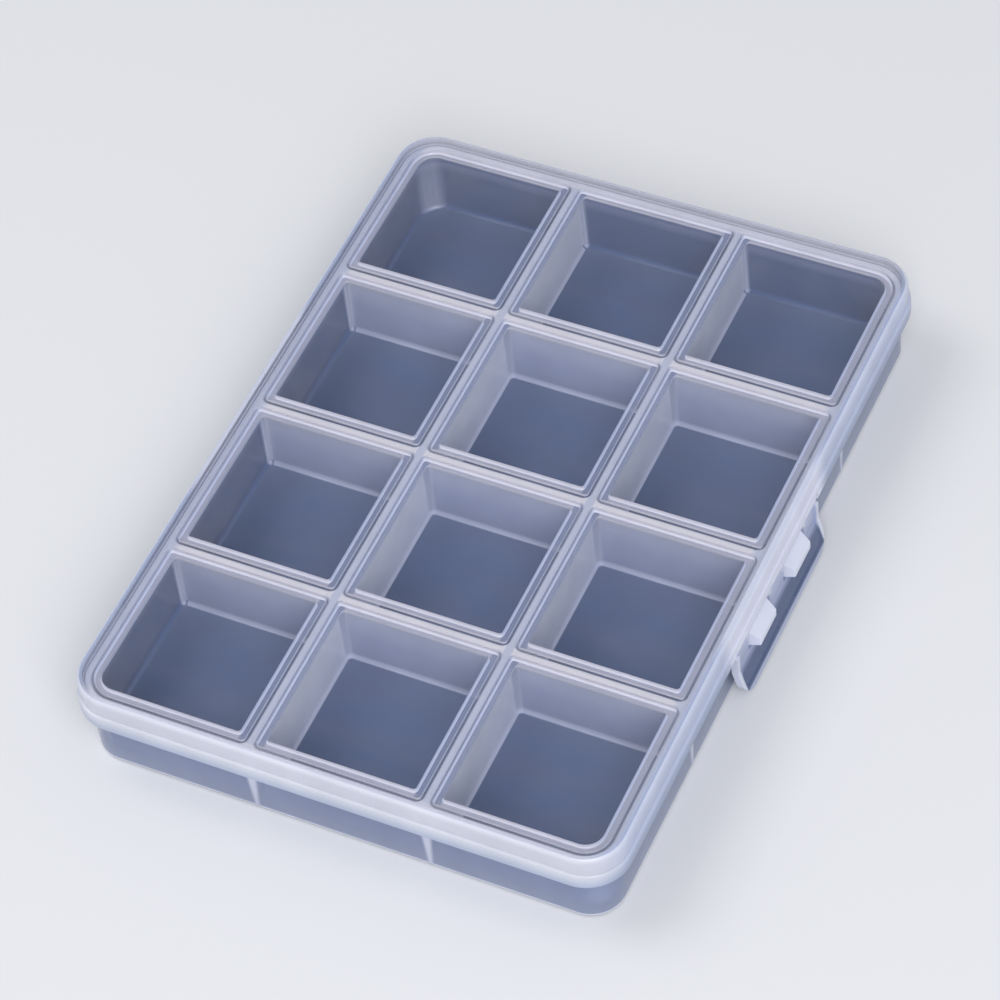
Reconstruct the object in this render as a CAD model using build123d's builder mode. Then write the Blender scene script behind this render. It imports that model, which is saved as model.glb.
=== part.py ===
"""Flat bead organizer: a tray of twelve open compartments under one hinged lid with a snap latch.

The box lies flat. Its origin is the middle of the tray's underside, +Z is up, the hinge runs
along the -X side and the latch is in the middle of the +X side. Lengths are in millimetres.
"""

import os
from math import radians, tan

from build123d import *

# Compartment grid, measured between the middles of the dividers
columns = 3
rows = 4
pitch_x = 32.0
pitch_y = 33.7
divider_thickness = 1.2
cell_corner_radius = 1.4
cell_floor_radius = 0.9
cell_draft = 0.8

# Tray
wall_thickness = 1.2
floor_thickness = 1.4
tray_height = 16.4
tray_corner_radius = 6.2
tray_draft = 1.0
tray_foot_radius = 0.6
rim_chamfer = 0.25

# Lid, a shallow cover whose skirt hangs over the tray's walls
lid_gap = 0.3
lid_thickness = 1.3
lid_top_radius = 1.0
skirt_gap = 0.15
skirt_thickness = 1.0
skirt_depth = 6.8
skirt_lead_in = 0.4
band_height = 2.9
band_proud = 0.45
band_radius = 0.4

# Loops of rib under the lid, one nested in the mouth of each compartment
rib_gap = 0.45
rib_width = 1.35
rib_height = 0.8
rib_corner_radius = 0.6
rib_chamfer = 0.25

# Lid hinge: two moulded rods on the tray, each in a snap barrel of the lid
hinge_pitch = 65.4
hinge_length = 30.4
hinge_drop = 4.4
hinge_offset = 1.5
rod_radius = 0.9
barrel_radius = 1.6
pivot_clearance = 0.05
barrel_mouth = 1.5
lug_width = 1.6
lug_side_gap = 0.2
lug_root_depth = 4.4
lug_shoulder = 1.1
lug_relief = 0.15

# Latch flap, which turns on two pins under the lid's band
flap_half_width = 18.2
flap_thickness = 0.75
flap_knuckle_radius = 0.75
flap_pin_radius = 0.45
flap_pin_length = 1.6
flap_axis_drop = 4.4
flap_wall_gap = 0.6
flap_side_gap = 0.2
flap_bend_height = 6.5
flap_flare = 15.0
flap_ground_gap = 0.5
flap_corner_radius = 3.6
flap_rim_width = 1.3
flap_rim_proud = 0.4
flap_rim_drop = 1.5
ear_radius = 0.9
ear_width = 2.4
ear_hole_spare = 0.2
notch_gap = 0.15

# Catches on the tray, which stand through the windows of the flap
catch_pitch = 15.5
catch_root_width = 9.0
catch_tip_width = 6.8
catch_reach = 3.1
catch_underside = 6.6
catch_tip_rise = 0.2
catch_tip_height = 1.6
catch_root_height = 4.6
catch_round = 0.3
window_side_gap = 0.25
window_sill_gap = 0.4
window_radius = 0.6

# Sizes that follow
tray_half_x = (columns * pitch_x + wall_thickness) / 2
tray_half_y = (rows * pitch_y + wall_thickness) / 2
wall_middle_x = tray_half_x - wall_thickness / 2
divider_x = [(i - (columns - 2) / 2) * pitch_x for i in range(columns - 1)]
divider_y = [(j - (rows - 2) / 2) * pitch_y for j in range(rows - 1)]

lid_underside = tray_height + lid_gap
lid_top = lid_underside + lid_thickness
skirt_bottom = lid_top - skirt_depth
skirt_inner_x = tray_half_x + skirt_gap
skirt_inner_y = tray_half_y + skirt_gap
skirt_inner_radius = tray_corner_radius + skirt_gap
rib_bottom = lid_underside - rib_height

hinge_x = -(skirt_inner_x + hinge_offset)
hinge_height = tray_height - hinge_drop
hinge_stations = (-hinge_pitch / 2, hinge_pitch / 2)
lug_offset = (hinge_length - lug_width) / 2
barrel_length = hinge_length - 2 * (lug_width + lug_side_gap)

catch_stations = (-catch_pitch / 2, catch_pitch / 2)
catch_tip_x = tray_half_x + catch_reach
catch_root_top = catch_underside + catch_root_height
catch_tip_top = catch_underside + catch_tip_rise + catch_tip_height
catch_slope = (catch_root_top - catch_tip_top) / (catch_tip_x - wall_middle_x)

flap_inner_x = tray_half_x + flap_wall_gap
flap_axis_x = skirt_inner_x + skirt_thickness + band_proud - flap_knuckle_radius
flap_axis_height = tray_height - flap_axis_drop
flap_full_thickness = flap_thickness + flap_rim_proud
notch_half_width = flap_half_width + flap_side_gap
window_sill = catch_underside - window_sill_gap
window_head = catch_root_top - catch_slope * (flap_inner_x - wall_middle_x) + window_sill_gap


def beside_divider(corner):
    """True for a corner of a compartment outline that a divider makes."""
    return any(abs(corner.X - x) < pitch_x / 3 for x in divider_x) or any(
        abs(corner.Y - y) < pitch_y / 3 for y in divider_y
    )


def compartments(inset, corner_radius):
    """Outlines of the compartment mouths, drawn in from their walls by inset."""
    inner_x = 2 * (tray_half_x - wall_thickness - inset)
    inner_y = 2 * (tray_half_y - wall_thickness - inset)
    bar = divider_thickness + 2 * inset
    with BuildSketch(mode=Mode.PRIVATE) as outlines:
        RectangleRounded(inner_x, inner_y, tray_corner_radius - wall_thickness - inset)
        with GridLocations(pitch_x, 0, columns - 1, 1):
            Rectangle(bar, inner_y, mode=Mode.SUBTRACT)
        with GridLocations(0, pitch_y, 1, rows - 1):
            Rectangle(inner_x, bar, mode=Mode.SUBTRACT)
        fillet(outlines.vertices().filter_by(beside_divider), corner_radius)
    return outlines.sketch


def upright(face):
    """True for a wall that stands exactly square to the floor."""
    return abs(face.normal_at().Z) < 1e-4


def lies_at(height):
    """Test for an edge or face whose middle is at this height."""
    return lambda shape: abs(shape.center().Z - height) < 1e-3


def cross_section(station):
    """Plane of a section across the box at a place along its length, with +Z upward."""
    return Plane.XZ.offset(-station)


def flap_layer(inner, outer, top, bottom):
    """Section of the flap between two depths from its inner face, bent outward at its knee."""
    flare = (flap_bend_height - bottom) * tan(radians(flap_flare))
    with BuildLine() as section:
        Polyline(
            (flap_inner_x + inner, top),
            (flap_inner_x + inner, flap_bend_height),
            (flap_inner_x + inner + flare, bottom),
            (flap_inner_x + outer + flare, bottom),
            (flap_inner_x + outer, flap_bend_height),
            (flap_inner_x + outer, top),
            close=True,
        )
    make_face(section.edges())


# Tray: drafted outside, with twelve drafted pockets between crossing dividers
with BuildPart() as tray:
    with BuildSketch():
        RectangleRounded(2 * tray_half_x, 2 * tray_half_y, tray_corner_radius)
    extrude(amount=tray_height)
    draft(tray.faces().filter_by(upright), Plane.XY.offset(tray_height), -tray_draft)
    fillet(tray.edges().group_by(Axis.Z)[0], tray_foot_radius)

    with BuildSketch(Plane.XY.offset(floor_thickness)):
        add(compartments(0, cell_corner_radius))
    extrude(amount=tray_height - floor_thickness, mode=Mode.SUBTRACT)
    draft(tray.faces().filter_by(upright), Plane.XY.offset(tray_height), cell_draft)
    fillet(tray.faces().filter_by(lies_at(floor_thickness)).edges(), cell_floor_radius)
    chamfer(tray.edges().group_by(Axis.Z)[-1], rim_chamfer)

    # Hinge: a rod along each hinge station, held clear of the wall by a lug at each end
    for station in hinge_stations:
        with BuildSketch(cross_section(station)):
            with Locations((hinge_x, hinge_height)):
                Circle(rod_radius)
        extrude(amount=hinge_length / 2, both=True)
        for side in (-lug_offset, lug_offset):
            with BuildSketch(cross_section(station + side)):
                with Locations((hinge_x, hinge_height)):
                    Circle(barrel_radius)
                with BuildLine():
                    Polyline(
                        (hinge_x + lug_relief, hinge_height + lug_shoulder),
                        (-wall_middle_x, hinge_height + lug_shoulder),
                        (-wall_middle_x, hinge_height - lug_root_depth),
                        (hinge_x + lug_relief, hinge_height - lug_shoulder),
                        close=True,
                    )
                make_face()
            extrude(amount=lug_width / 2, both=True)

    # Catches: wedges that slope out and down from the wall to a blunt tip
    for station in catch_stations:
        with BuildSketch(Plane.YZ.offset(wall_middle_x)):
            with Locations((station, catch_underside + catch_root_height / 2)):
                Rectangle(catch_root_width, catch_root_height)
        with BuildSketch(Plane.YZ.offset(catch_tip_x)):
            with Locations((station, catch_tip_top - catch_tip_height / 2)):
                Rectangle(catch_tip_width, catch_tip_height)
        loft()
    fillet(tray.edges().group_by(Axis.X)[-1], catch_round)
tray.part.label = "tray"

# Lid: a rounded plate with a skirt, stiffened by a band round the skirt's lower half
with BuildPart() as lid:
    with BuildSketch(Plane.XY.offset(skirt_bottom)):
        RectangleRounded(
            2 * (skirt_inner_x + skirt_thickness + band_proud),
            2 * (skirt_inner_y + skirt_thickness + band_proud),
            skirt_inner_radius + skirt_thickness + band_proud,
        )
    extrude(amount=band_height)
    fillet(lid.edges().group_by(Axis.Z)[-1], band_radius)
    with BuildSketch(Plane.XY.offset(skirt_bottom)):
        RectangleRounded(
            2 * (skirt_inner_x + skirt_thickness),
            2 * (skirt_inner_y + skirt_thickness),
            skirt_inner_radius + skirt_thickness,
        )
    extrude(amount=skirt_depth)
    fillet(lid.edges().group_by(Axis.Z)[-1], lid_top_radius)
    with BuildSketch(Plane.XY.offset(skirt_bottom)):
        RectangleRounded(2 * skirt_inner_x, 2 * skirt_inner_y, skirt_inner_radius)
    extrude(amount=lid_underside - skirt_bottom, mode=Mode.SUBTRACT)
    skirt_foot = lid.faces().sort_by(Axis.Z)[0]
    chamfer(skirt_foot.inner_wires().edges(), skirt_lead_in)

    # One loop of rib inside the mouth of each compartment
    with BuildSketch(Plane.XY.offset(rib_bottom)):
        add(compartments(rib_gap, rib_corner_radius))
        add(compartments(rib_gap + rib_width, rib_corner_radius), mode=Mode.SUBTRACT)
    extrude(amount=rib_height)
    chamfer(lid.faces().filter_by(lies_at(rib_bottom)).edges(), rib_chamfer)

    # Snap barrels over the tray's rods, open below, between gaps for the tray's lugs
    for station in hinge_stations:
        with BuildSketch(Plane.XY.offset(hinge_height + barrel_radius + notch_gap)):
            with Locations((hinge_x, station - lug_offset), (hinge_x, station + lug_offset)):
                Rectangle(2 * (hinge_offset + wall_thickness), lug_width + 2 * lug_side_gap)
        extrude(amount=-(barrel_radius + hinge_height - skirt_bottom + notch_gap), mode=Mode.SUBTRACT)
        with BuildSketch(cross_section(station)):
            with Locations((hinge_x, hinge_height)):
                Circle(barrel_radius)
            with Locations((-skirt_inner_x + barrel_radius / 2, hinge_height)):
                Rectangle(barrel_radius, 2 * barrel_radius, mode=Mode.SUBTRACT)
        extrude(amount=barrel_length / 2, both=True)
        with BuildSketch(cross_section(station)):
            with Locations((hinge_x, hinge_height)):
                Circle(rod_radius + pivot_clearance)
                Rectangle(barrel_mouth, 2 * barrel_radius, align=(Align.CENTER, Align.MAX))
        extrude(amount=hinge_length / 2, both=True, mode=Mode.SUBTRACT)

    # Notch in the skirt for the latch flap, with an ear at each end for its pin
    with BuildSketch(Plane.XY.offset(flap_axis_height + flap_knuckle_radius + notch_gap)):
        with Locations((flap_axis_x, 0)):
            Rectangle(2 * (flap_axis_x - tray_half_x), 2 * notch_half_width)
    extrude(amount=-skirt_depth, mode=Mode.SUBTRACT)
    for side in (-1, 1):
        with BuildSketch(cross_section(side * (notch_half_width + ear_width / 2))):
            with Locations((flap_axis_x, flap_axis_height)):
                Circle(ear_radius)
            with Locations((skirt_inner_x - ear_radius / 2, flap_axis_height)):
                Rectangle(ear_radius, 2 * ear_radius, mode=Mode.SUBTRACT)
        extrude(amount=ear_width / 2, both=True)
    with BuildSketch(cross_section(0)):
        with Locations((flap_axis_x, flap_axis_height)):
            Circle(flap_pin_radius + pivot_clearance)
    pin_reach = flap_half_width + flap_pin_length + ear_hole_spare
    extrude(amount=pin_reach, both=True, mode=Mode.SUBTRACT)
lid.part.label = "lid"

# Latch flap: a bent panel with a raised rim on three sides, two catch windows and a knuckle with pins
with BuildPart() as latch_flap:
    with BuildSketch(cross_section(0)):
        flap_layer(0, flap_thickness, flap_axis_height, flap_ground_gap)
        flap_layer(0, flap_full_thickness, flap_axis_height - flap_rim_drop, flap_ground_gap)
        with Locations((flap_axis_x, flap_axis_height)):
            Circle(flap_knuckle_radius)
    extrude(amount=flap_half_width, both=True)
    with BuildSketch(cross_section(0)):
        flap_layer(
            flap_thickness,
            2 * flap_full_thickness,
            flap_axis_height - flap_knuckle_radius,
            flap_ground_gap + flap_rim_width,
        )
    extrude(amount=flap_half_width - flap_rim_width, both=True, mode=Mode.SUBTRACT)

    # Front outline: rounded lower corners and a window for each catch
    with BuildSketch(Plane.YZ.offset(tray_half_x)) as outline:
        flap_top = flap_axis_height + flap_knuckle_radius
        with Locations((0, flap_ground_gap)):
            Rectangle(2 * flap_half_width, flap_top - flap_ground_gap, align=(Align.CENTER, Align.MIN))
        fillet(outline.vertices().group_by(Axis.Y)[0], flap_corner_radius)
        with Locations(*[(station, (window_sill + window_head) / 2) for station in catch_stations]):
            RectangleRounded(
                catch_root_width + 2 * window_side_gap,
                window_head - window_sill,
                window_radius,
                mode=Mode.SUBTRACT,
            )
    extrude(amount=2 * catch_reach, mode=Mode.INTERSECT)
    with BuildSketch(cross_section(0)):
        with Locations((flap_axis_x, flap_axis_height)):
            Circle(flap_pin_radius)
    extrude(amount=flap_half_width + flap_pin_length, both=True)
latch_flap.part.label = "latch_flap"

os.makedirs("parts", exist_ok=True)
for piece in (tray, lid, latch_flap):
    export_step(piece.part, f"parts/{piece.part.label}.step")
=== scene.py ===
"""Looks of the flat bead organizer: natural polypropylene mouldings over a pale floor, in metres."""

from math import cos, radians, sin
from types import SimpleNamespace

import bmesh
import bpy
from mathutils import Matrix, Vector

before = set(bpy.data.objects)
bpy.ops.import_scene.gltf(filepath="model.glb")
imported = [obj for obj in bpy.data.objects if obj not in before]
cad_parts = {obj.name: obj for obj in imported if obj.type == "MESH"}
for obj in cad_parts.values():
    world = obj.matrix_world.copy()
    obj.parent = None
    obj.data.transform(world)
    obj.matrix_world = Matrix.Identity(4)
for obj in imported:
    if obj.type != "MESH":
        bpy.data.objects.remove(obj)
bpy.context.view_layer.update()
MM = 0.001

# The mouldings' own forms, in millimetres: places to either side of the middle of the box, and heights.
# Tray and lid share the centres of their rounded corners.
CORNER_CENTRE = (42.4, 61.8)
CORNER_RADIUS = 6.2
LONG_DIVIDER = 16.0
CROSS_DIVIDERS = (0.0, 33.7)
CATCH = 7.75
BESIDE_LATCH = 19.0
SKIRT_FOOT = 11.2
BAND_LEDGE = 14.1
TRAY_RIM = 16.4
LID_TOP = 18.0


def linear(hex_colour, alpha=1.0):
    """An sRGB hex colour as the linear RGBA that shader sockets take."""
    channels = [int(hex_colour[i : i + 2], 16) / 255 for i in (1, 3, 5)]
    return [c / 12.92 if c <= 0.04045 else ((c + 0.055) / 1.055) ** 2.4 for c in channels] + [alpha]


def add(tree, kind, settings=None, **inputs):
    """Adds a node. An input is a value, a socket, or a node whose first output feeds it.

    i3 is the input numbered 3, and an underscore stands for a space in an input's name.
    """
    node = tree.nodes.new(kind)
    for name, value in (settings or {}).items():
        setattr(node, name, value)
    for name, value in inputs.items():
        place = int(name[1:]) if name[1:].isdigit() else name.replace("_", " ")
        if isinstance(value, bpy.types.Node):
            value = value.outputs[0]
        if isinstance(value, bpy.types.NodeSocket):
            tree.links.new(value, node.inputs[place])
        else:
            node.inputs[place].default_value = value
    return node


def plastic(colour, solidity):
    """One look of the plastic: its colour, and the share of what lies behind it that it hides."""
    return SimpleNamespace(colour=linear(colour), solidity=solidity)


def plastic_along(tree, coordinate, stops):
    """A look that changes along a coordinate, from stops of (millimetres, colour, solidity).

    Before the first stop and past the last one it stays as it is there.
    """
    low, high = stops[0][0], stops[-1][0]
    share = add(tree, "ShaderNodeMapRange", Value=coordinate, From_Min=low * MM, From_Max=high * MM)
    ramp = add(tree, "ShaderNodeValToRGB", Fac=share)
    points = ramp.color_ramp.elements
    while len(points) < len(stops):
        points.new(0.5)
    for point, (at, colour, solidity) in zip(points, stops):
        point.position = (at - low) / (high - low)
        point.color = linear(colour, solidity)
    return SimpleNamespace(colour=ramp.outputs[0], solidity=ramp.outputs[1])


def lay(tree, under, over, *masks):
    """Lays one look over another where all the masks are 1.

    A mask is a node, a socket, or (coordinate, low, high): 0 at low and 1 at high, in millimetres.
    """
    share = 1.0
    for mask in masks:
        if isinstance(mask, tuple):
            coordinate, low, high = mask
            mask = add(tree, "ShaderNodeMapRange", Value=coordinate, From_Min=low * MM, From_Max=high * MM)
        share = add(tree, "ShaderNodeMath", {"operation": "MULTIPLY"}, i0=share, i1=mask)
    # A Mix node takes two numbers at inputs 2 and 3, and two colours at inputs 6 and 7
    colour = add(
        tree, "ShaderNodeMix", {"data_type": "RGBA"}, Factor=share, i6=under.colour, i7=over.colour
    )
    solidity = add(tree, "ShaderNodeMix", Factor=share, i2=under.solidity, i3=over.solidity)
    return SimpleNamespace(colour=colour.outputs[2], solidity=solidity.outputs[0])


def moulding(name):
    """An empty polypropylene material, with the coordinates that its patterns read.

    z is a height, and far_x and far_y are distances from the middle. turned_x, turned_y and level
    say how squarely a face looks along an axis. reach is how far a point stands outside the tray's
    rounded outline, and is negative inside it.
    """
    material = bpy.data.materials.new(name)
    material.use_nodes = True
    tree = material.node_tree
    tree.nodes.clear()
    where = add(tree, "ShaderNodeTexCoord")
    place = where.outputs["Object"]
    far = add(tree, "ShaderNodeVectorMath", {"operation": "ABSOLUTE"}, i0=place)
    above_the_box = 1.0
    centre = (CORNER_CENTRE[0] * MM, CORNER_CENTRE[1] * MM, above_the_box)
    past = add(tree, "ShaderNodeVectorMath", {"operation": "SUBTRACT"}, i0=far, i1=centre)
    past = add(tree, "ShaderNodeVectorMath", {"operation": "MAXIMUM"}, i0=past, i1=(0, 0, 0))
    past = add(tree, "ShaderNodeVectorMath", {"operation": "LENGTH"}, i0=past).outputs["Value"]
    reach = add(tree, "ShaderNodeMath", {"operation": "SUBTRACT"}, i0=past, i1=CORNER_RADIUS * MM)
    turned = add(tree, "ShaderNodeVectorMath", {"operation": "ABSOLUTE"}, i0=where.outputs["Normal"])
    _, y, z = add(tree, "ShaderNodeSeparateXYZ", Vector=place).outputs
    far_x, far_y, _ = add(tree, "ShaderNodeSeparateXYZ", Vector=far).outputs
    turned_x, turned_y, level = add(tree, "ShaderNodeSeparateXYZ", Vector=turned).outputs
    return SimpleNamespace(
        material=material,
        tree=tree,
        place=place,
        y=y,
        z=z,
        far_x=far_x,
        far_y=far_y,
        turned_x=turned_x,
        turned_y=turned_y,
        level=level,
        reach=reach,
    )


def off_line(tree, coordinate, line):
    """How far a point lies to either side of a line, which is given in millimetres."""
    off = add(tree, "ShaderNodeMath", {"operation": "SUBTRACT"}, i0=coordinate, i1=line * MM)
    return add(tree, "ShaderNodeMath", {"operation": "ABSOLUTE"}, i0=off)


def dress(node, at, look):
    """Gives a moulding its milky body under a smooth skin, whose gloss stays where the body is clear."""
    cloud_width = 8 * MM
    wave_width = 14 * MM
    wave_depth = 0.3 * MM
    gloss_straight_on = 0.02
    gloss_gained_at_edges = 0.9
    tree = at.tree
    clouds = add(tree, "ShaderNodeTexNoise", Vector=at.place, Scale=1 / cloud_width, Detail=2.0)
    cloud = add(
        tree, "ShaderNodeMapRange", Value=clouds, From_Min=0.3, From_Max=0.7, To_Min=0.95, To_Max=1.05
    )
    solidity = add(tree, "ShaderNodeMath", {"operation": "MULTIPLY"}, i0=look.solidity, i1=cloud)
    waves = add(tree, "ShaderNodeTexNoise", Vector=at.place, Scale=1 / wave_width, Detail=1.0)
    skin = add(tree, "ShaderNodeBump", Strength=0.05, Distance=wave_depth, Height=waves)
    body = add(
        tree,
        "ShaderNodeBsdfPrincipled",
        Base_Color=look.colour,
        Roughness=0.3,
        IOR=1.49,
        Alpha=solidity,
        Normal=skin,
    )
    gloss = add(tree, "ShaderNodeBsdfGlossy", Color=(1, 1, 1, 1), Roughness=0.18, Normal=skin)
    slant = add(tree, "ShaderNodeLayerWeight", Blend=0.5, Normal=skin).outputs["Facing"]
    mirrored = add(tree, "ShaderNodeMath", {"operation": "POWER"}, i0=slant, i1=5.0)
    mirrored = add(
        tree,
        "ShaderNodeMath",
        {"operation": "MULTIPLY_ADD"},
        i0=mirrored,
        i1=gloss_gained_at_edges,
        i2=gloss_straight_on,
    )
    clear = add(tree, "ShaderNodeMath", {"operation": "SUBTRACT"}, i0=1.0, i1=solidity)
    share = add(tree, "ShaderNodeMath", {"operation": "MULTIPLY"}, i0=mirrored, i1=clear)
    both = add(tree, "ShaderNodeMixShader", Fac=share, i1=body, i2=gloss)
    add(tree, "ShaderNodeOutputMaterial", Surface=both)
    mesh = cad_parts[node].data
    mesh.materials.clear()
    mesh.materials.append(at.material)


# Tray: natural polypropylene, injection moulded. Milky blue-grey where the eye goes through one wall,
# near white on rims, feet, corners and catches, where it looks along a wall. On rims, feet and corners that
# white is a painted highlight, and low in the compartments a deep blue-grey painted shade darkens them.


def divider_looks_with_painted_light(at):
    """Cross dividers are milky, darker lower down with painted shade and near white at the top edge with a
    painted highlight. Long ones are paler all the way down with painted light.
    """
    tree = at.tree
    cross = plastic_along(
        tree,
        at.z,
        [
            (2.0, "#BEC5E0", 0.80),
            (2.5, "#B0BADA", 0.74),
            (8.0, "#BAC3E2", 0.76),
            (13.0, "#D2D8EE", 0.82),
            (15.9, "#F2F0F5", 0.92),
            (TRAY_RIM, "#E6E3EC", 0.92),
        ],
    )
    along = plastic_along(
        tree,
        at.z,
        [
            (2.0, "#CED4EC", 0.82),
            (2.5, "#E0E5F6", 0.90),
            (8.0, "#E8ECFA", 0.92),
            (13.0, "#ECEFFA", 0.94),
            (15.9, "#E8ECFA", 0.94),
            (TRAY_RIM, "#C8CEE4", 0.88),
        ],
    )
    # Painted light: faces turned along x, those of the long divider, take the paler look
    look = lay(tree, cross, along, at.turned_x)
    off_long = off_line(tree, at.far_x, LONG_DIVIDER)
    return lay(tree, look, along, (off_long, 0.8, 0.7), (at.z, 16.0, 16.1))


def outer_wall_inside_with_painted_shade(at, look):
    """The outer walls' inner faces are a deep blue-grey painted shade low down, near white with a painted
    highlight at the top, and the rounded corners get a painted highlight.
    """
    tree = at.tree
    deep = plastic_along(
        tree,
        at.z,
        [
            (0.0, "#566C9C", 0.80),
            (2.1, "#4A6294", 0.80),
            (2.6, "#3C5688", 0.80),
            (11.0, "#425A8A", 0.79),
            (13.6, "#8592BA", 0.80),
            (15.2, "#D2D7EC", 0.86),
            (16.0, "#E2E5F6", 0.88),
            (TRAY_RIM, "#DCDDEA", 0.90),
        ],
    )
    # The fillet at the foot of a wall stands further in than the wall itself
    fillet = 0.95 * MM
    at_foot = add(tree, "ShaderNodeMapRange", Value=at.z, From_Min=2.5 * MM, From_Max=2.2 * MM)
    reach_in = add(tree, "ShaderNodeMath", {"operation": "MULTIPLY_ADD"}, i0=at_foot, i1=fillet, i2=at.reach)
    look = lay(tree, look, deep, (reach_in, -1.6, -1.5))
    # Painted highlight on the rounded corners
    diagonal = add(tree, "ShaderNodeMath", {"operation": "MINIMUM"}, i0=at.turned_x, i1=at.turned_y)
    corner_highlight = add(tree, "ShaderNodeMapRange", Value=diagonal, From_Min=0.15, From_Max=0.5)
    return lay(tree, look, plastic("#C3CAE4", 0.75), corner_highlight, (at.reach, -1.0, -1.8))


def compartment_floor_with_painted_shade(at, look):
    """Floors are deep blue-grey, a painted shade, darkest at the -Y end of a compartment, where the shadow
    of its wall is painted, and paler towards its +Y end.
    """
    tree = at.tree
    cell_length = CROSS_DIVIDERS[1] - CROSS_DIVIDERS[0]
    into_cell = add(tree, "ShaderNodeMath", {"operation": "FLOORED_MODULO"}, i0=at.y, i1=cell_length * MM)
    # Painted shadow of the -Y wall, fading towards the +Y end
    floor = plastic_along(
        tree,
        into_cell,
        [
            (0.0, "#2A4E84", 0.86),
            (14.0, "#3A5686", 0.85),
            (27.0, "#5A6E96", 0.81),
            (cell_length, "#7080A2", 0.79),
        ],
    )
    # Faint streaks that run across the box, left where the melt ran along the floor
    streak_width = 6 * MM
    stretched = add(tree, "ShaderNodeMapping", Vector=at.place, Scale=(0.25, 1.0, 0.25))
    flow = add(tree, "ShaderNodeTexNoise", Vector=stretched, Scale=1 / streak_width, Detail=3.0)
    streak = add(tree, "ShaderNodeMapRange", Value=flow, From_Min=0.42, From_Max=0.72, To_Max=0.6)
    floor = lay(tree, floor, plastic("#646E94", 0.77), streak)
    flat = add(tree, "ShaderNodeMapRange", Value=at.level, From_Min=0.9, From_Max=0.97)
    return lay(tree, look, floor, flat, (at.z, 1.8, 1.6))


def outer_faces_with_painted_highlights(at, look):
    """Outside, the walls are clearer, with painted highlights: a bright foot, a near-white rim and a pale
    wedge where each divider joins.
    """
    wedge_half_width = 0.65
    wedge_widening = 0.06
    tree = at.tree
    outside = plastic_along(
        tree,
        at.z,
        [
            (0.6, "#E8EBFA", 0.92),
            (0.9, "#B0BAD8", 0.56),
            (8.0, "#9EAACE", 0.54),
            (16.2, "#9EAACE", 0.54),
            (TRAY_RIM, "#E4E5F2", 0.85),
        ],
    )
    # Painted highlight: a pale wedge on the outer face where each divider joins
    for along, faces, dividers in (
        (at.far_x, at.turned_y, (LONG_DIVIDER,)),
        (at.far_y, at.turned_x, CROSS_DIVIDERS),
    ):
        for divider in dividers:
            away = off_line(tree, along, divider)
            wedge = add(
                tree, "ShaderNodeMath", {"operation": "MULTIPLY_ADD"}, i0=at.z, i1=-wedge_widening, i2=away
            )
            outside = lay(tree, outside, plastic("#D6DAEE", 0.80), (wedge, wedge_half_width, 0.0), faces)
    return lay(tree, look, outside, (at.reach, -0.5, -0.4))


tray = moulding("polypropylene_natural_moulded_tray")
look = divider_looks_with_painted_light(tray)
look = outer_wall_inside_with_painted_shade(tray, look)
look = compartment_floor_with_painted_shade(tray, look)
look = outer_faces_with_painted_highlights(tray, look)
side_rim = plastic("#C4CBE2", 0.88)
look = lay(tray.tree, look, side_rim, (tray.far_x, 45.6, 46.9), (tray.z, 16.0, 16.15))
catches_and_rods = plastic("#E3E7F8", 0.93)
look = lay(tray.tree, look, catches_and_rods, (tray.reach, 0.05, 0.25))
# Painted shade: the underside is a darker blue-grey, which darkens the floors seen through it
underside = plastic("#5F7092", 0.72)
look = lay(tray.tree, look, underside, (tray.z, 0.05, 0.02))
dress("tray", tray, look)

# Lid: the same polypropylene. Its plate is nearly clear, its ribs and edge show near white, with painted
# light on rib faces turned along y, and its skirt goes from pale grey at the ledge of its band to milky blue
# at its foot, paler with painted light at the ends of the box.


def plate_and_rib_bottoms(at):
    """The plate is nearly clear. It is hazier over the rim and in the grooves between its ribs."""
    tree = at.tree
    look = plastic_along(
        tree,
        at.z,
        [
            (15.7, "#98A2BC", 0.40),
            (15.8, "#B4B5C8", 0.78),
            (16.2, "#B4B5C8", 0.78),
            (16.4, "#C0C9E2", 0.02),
        ],
    )
    off_long = off_line(tree, at.far_x, LONG_DIVIDER)
    look = lay(tree, look, plastic("#8A94B4", 0.62), (off_long, 2.6, 2.2), (at.z, 16.3, 16.1))
    plate = (at.z, 16.5, 16.6)
    for off_groove in [off_long] + [off_line(tree, at.far_y, divider) for divider in CROSS_DIVIDERS]:
        look = lay(tree, look, plastic("#B8BCD0", 0.09), (off_groove, 1.2, 1.0), plate)
    return lay(tree, look, plastic("#D4D7E6", 0.10), (at.reach, -1.8, -1.6), plate)


def clouded_border(at, look):
    """Outside the tray's rim the plate is clouded, bluer along the long sides and paler beside the latch."""
    tree = at.tree
    long_side = (at.far_x, 45.0, 48.0)
    border = lay(tree, plastic("#D6DAEE", 0.40), plastic("#BCC9EC", 0.46), long_side)
    border = lay(tree, border, plastic("#DDE2F6", 0.70), long_side, (at.far_y, 25.0, BESIDE_LATCH))
    return lay(tree, look, border, (at.reach, -0.1, 0.15))


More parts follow.
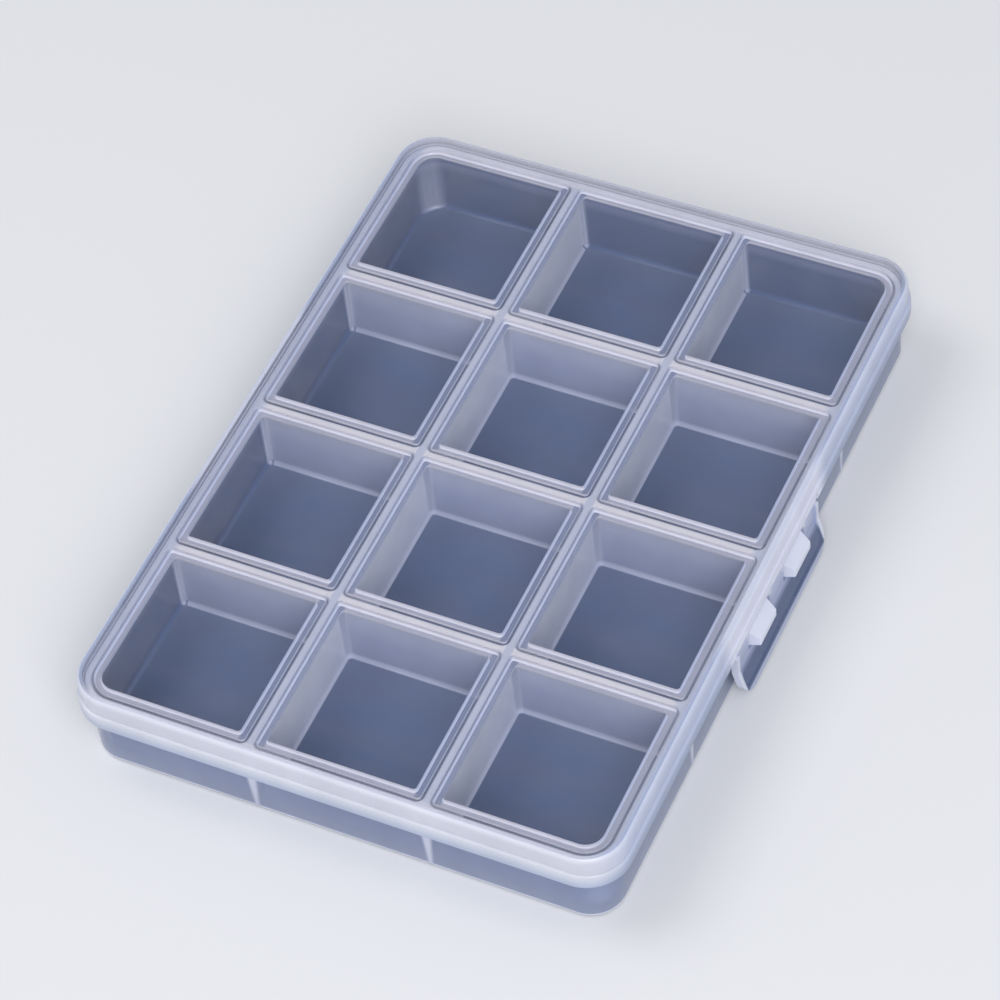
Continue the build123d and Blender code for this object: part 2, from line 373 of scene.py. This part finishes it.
def skirt_looks_with_painted_light(at):
    """Outer faces of skirt and band, paler with painted light at the ends of the box, and paler beside the
    latch.
    """
    tree = at.tree
    ends = plastic_along(
        tree,
        at.z,
        [
            (SKIRT_FOOT, "#B3BFD8", 0.86),
            (13.4, "#D9DDEB", 0.90),
            (BAND_LEDGE, "#D8DBE5", 0.90),
            (14.6, "#D6D8E6", 0.90),
            (17.2, "#DADBE8", 0.90),
            (LID_TOP, "#DFE1EE", 0.90),
        ],
    )
    sides = plastic_along(
        tree,
        at.z,
        [
            (SKIRT_FOOT, "#96A4C2", 0.80),
            (13.4, "#B2BEDC", 0.84),
            (BAND_LEDGE, "#C2CAE2", 0.88),
            (15.5, "#C0C9E4", 0.88),
            (LID_TOP, "#CED5EC", 0.88),
        ],
    )
    sides = lay(tree, sides, plastic("#E0E3F4", 0.92), (at.far_y, 23.0, BESIDE_LATCH))
    # Painted light: the ends of the box take the paler look
    return lay(tree, sides, ends, (at.far_y, 62.0, 68.5))


lid = moulding("polypropylene_natural_moulded_lid")
look = plate_and_rib_bottoms(lid)
look = clouded_border(lid, look)
steep = add(lid.tree, "ShaderNodeMapRange", Value=lid.level, From_Min=0.95, From_Max=0.85)
# Painted light: steep rib walls turned along y are paler than those turned along x
rib_walls_with_painted_light = lay(lid.tree, plastic("#D3DBF2", 0.86), plastic("#E8E6F0", 0.90), lid.turned_y)
look = lay(lid.tree, look, rib_walls_with_painted_light, steep)
skirt = skirt_looks_with_painted_light(lid)
below_plate = (lid.z, 17.0, 16.5)
for faces in (steep, below_plate):
    look = lay(lid.tree, look, skirt, (lid.reach, 0.8, 1.0), faces)
dress("lid", lid, look)

# Latch flap: the same polypropylene, thin and smoky blue below its knee, milky above it, and near white
# with painted highlights along its rim, at its knuckle and above its two windows, where the eye meets the
# plastic edge on, and at the knuckle over the shade of the band
flap = moulding("polypropylene_natural_moulded_flap")
look = plastic_along(
    flap.tree,
    flap.z,
    [
        (1.3, "#B9C1DC", 0.80),
        (1.6, "#56688F", 0.64),
        (4.6, "#5A6C94", 0.64),
        (6.2, "#AEB8DA", 0.78),
        (10.6, "#C2CAE6", 0.84),
        (11.3, "#E6E9F8", 0.88),
    ],
)
highlight_above_windows = [(off_line(flap.tree, flap.far_y, CATCH), 5.8, 5.2), (flap.z, 9.4, 10.0)]
highlight_on_end_rims = [(flap.far_y, 17.1, 17.4)]
# Painted highlights above the windows and on the end rims
for masks in (highlight_above_windows, highlight_on_end_rims):
    look = lay(flap.tree, look, plastic("#DDE1F2", 0.88), *masks)
dress("latch_flap", flap, look)

# Floor, just clear of the tray's underside
BACKDROP = "#DFE1E6"
FLOOR_REACH = 4.0
FLOOR_CLEARANCE = 0.2 * MM
floor_mesh = bmesh.new()
bmesh.ops.create_grid(floor_mesh, x_segments=1, y_segments=1, size=FLOOR_REACH)
bmesh.ops.translate(floor_mesh, vec=(0, 0, -FLOOR_CLEARANCE), verts=floor_mesh.verts)
floor_data = bpy.data.meshes.new("studio_floor")
floor_mesh.to_mesh(floor_data)
floor_mesh.free()
studio_floor = bpy.data.objects.new("studio_floor", floor_data)
bpy.context.scene.collection.objects.link(studio_floor)


def seen_straight(tree):
    """1 for what the eye, a reflection or clear plastic looks at, and 0 for what only lights the object."""
    ray = add(tree, "ShaderNodeLightPath").outputs
    seen = ray["Is Camera Ray"]
    for kind in ("Is Glossy Ray", "Is Transmission Ray"):
        seen = add(tree, "ShaderNodeMath", {"operation": "MAXIMUM"}, i0=seen, i1=ray[kind])
    return seen


def painted_board(name):
    """Dull matt paint, which fades into the pale backdrop well away from the box."""
    paint = bpy.data.materials.new(name)
    paint.use_nodes = True
    tree = paint.node_tree
    tree.nodes.clear()
    where = add(tree, "ShaderNodeTexCoord").outputs["Object"]
    off = add(tree, "ShaderNodeVectorMath", {"operation": "LENGTH"}, i0=where).outputs["Value"]
    far_off = add(tree, "ShaderNodeMapRange", Value=off, From_Min=350 * MM, From_Max=1200 * MM)
    fade = add(tree, "ShaderNodeMath", {"operation": "MULTIPLY"}, i0=far_off, i1=seen_straight(tree))
    board = add(
        tree,
        "ShaderNodeBsdfPrincipled",
        Base_Color=linear("#E6E7EA"),
        Roughness=0.95,
        Specular_IOR_Level=0.1,
    )
    backdrop = add(tree, "ShaderNodeEmission", Color=linear(BACKDROP), Strength=1.0)
    both = add(tree, "ShaderNodeMixShader", Fac=fade, i1=board, i2=backdrop)
    add(tree, "ShaderNodeOutputMaterial", Surface=both)
    return paint


floor_data.materials.append(painted_board("painted_studio_floor"))

# Soft studio light
world = bpy.data.worlds.new("studio_surround")
bpy.context.scene.world = world
world.use_nodes = True
tree = world.node_tree
tree.nodes.clear()
light = add(tree, "ShaderNodeBackground", Color=linear("#EEF0F4"), Strength=0.55)
backdrop = add(tree, "ShaderNodeBackground", Color=linear(BACKDROP), Strength=1.0)
both = add(tree, "ShaderNodeMixShader", Fac=seen_straight(tree), i1=light, i2=backdrop)
add(tree, "ShaderNodeOutputWorld", Surface=both)


def softbox(name, place, size, power):
    """A square area lamp at place, in metres, turned to the middle of the box."""
    lamp = bpy.data.lights.new(name, "AREA")
    lamp.size = size
    lamp.energy = power
    lamp_object = bpy.data.objects.new(name, lamp)
    bpy.context.scene.collection.objects.link(lamp_object)
    turn = (-Vector(place)).to_track_quat("-Z", "Y").to_matrix().to_4x4()
    lamp_object.matrix_world = Matrix.Translation(place) @ turn


softbox("key_softbox", place=(0.55, -0.75, 0.9), size=0.8, power=9.0)
softbox("top_softbox", place=(-0.6, -0.1, 1.0), size=0.6, power=3.0)

# Camera
AZIMUTH, ELEVATION, ROLL = radians(30.159), radians(50.651), radians(-7.34)
AIM = Vector((-5.262, 6.403, 0.35)) * MM
DISTANCE = 707.8 * MM
FOCAL_PIXELS = 4022
IMAGE_PIXELS = 1000
away = Vector((sin(AZIMUTH) * cos(ELEVATION), -cos(AZIMUTH) * cos(ELEVATION), sin(ELEVATION)))
level = (-away).cross(Vector((0, 0, 1))).normalized()
upright = level.cross(-away)
right = level * cos(ROLL) + upright * sin(ROLL)
up = upright * cos(ROLL) - level * sin(ROLL)
camera_data = bpy.data.cameras.new("camera")
camera_data.lens = camera_data.sensor_width * FOCAL_PIXELS / IMAGE_PIXELS
camera = bpy.data.objects.new("camera", camera_data)
bpy.context.scene.collection.objects.link(camera)
turn = Matrix((right, up, away)).transposed().to_4x4()
camera.matrix_world = Matrix.Translation(AIM + away * DISTANCE) @ turn
bpy.context.scene.camera = camera
bpy.context.scene.view_settings.view_transform = "Standard"
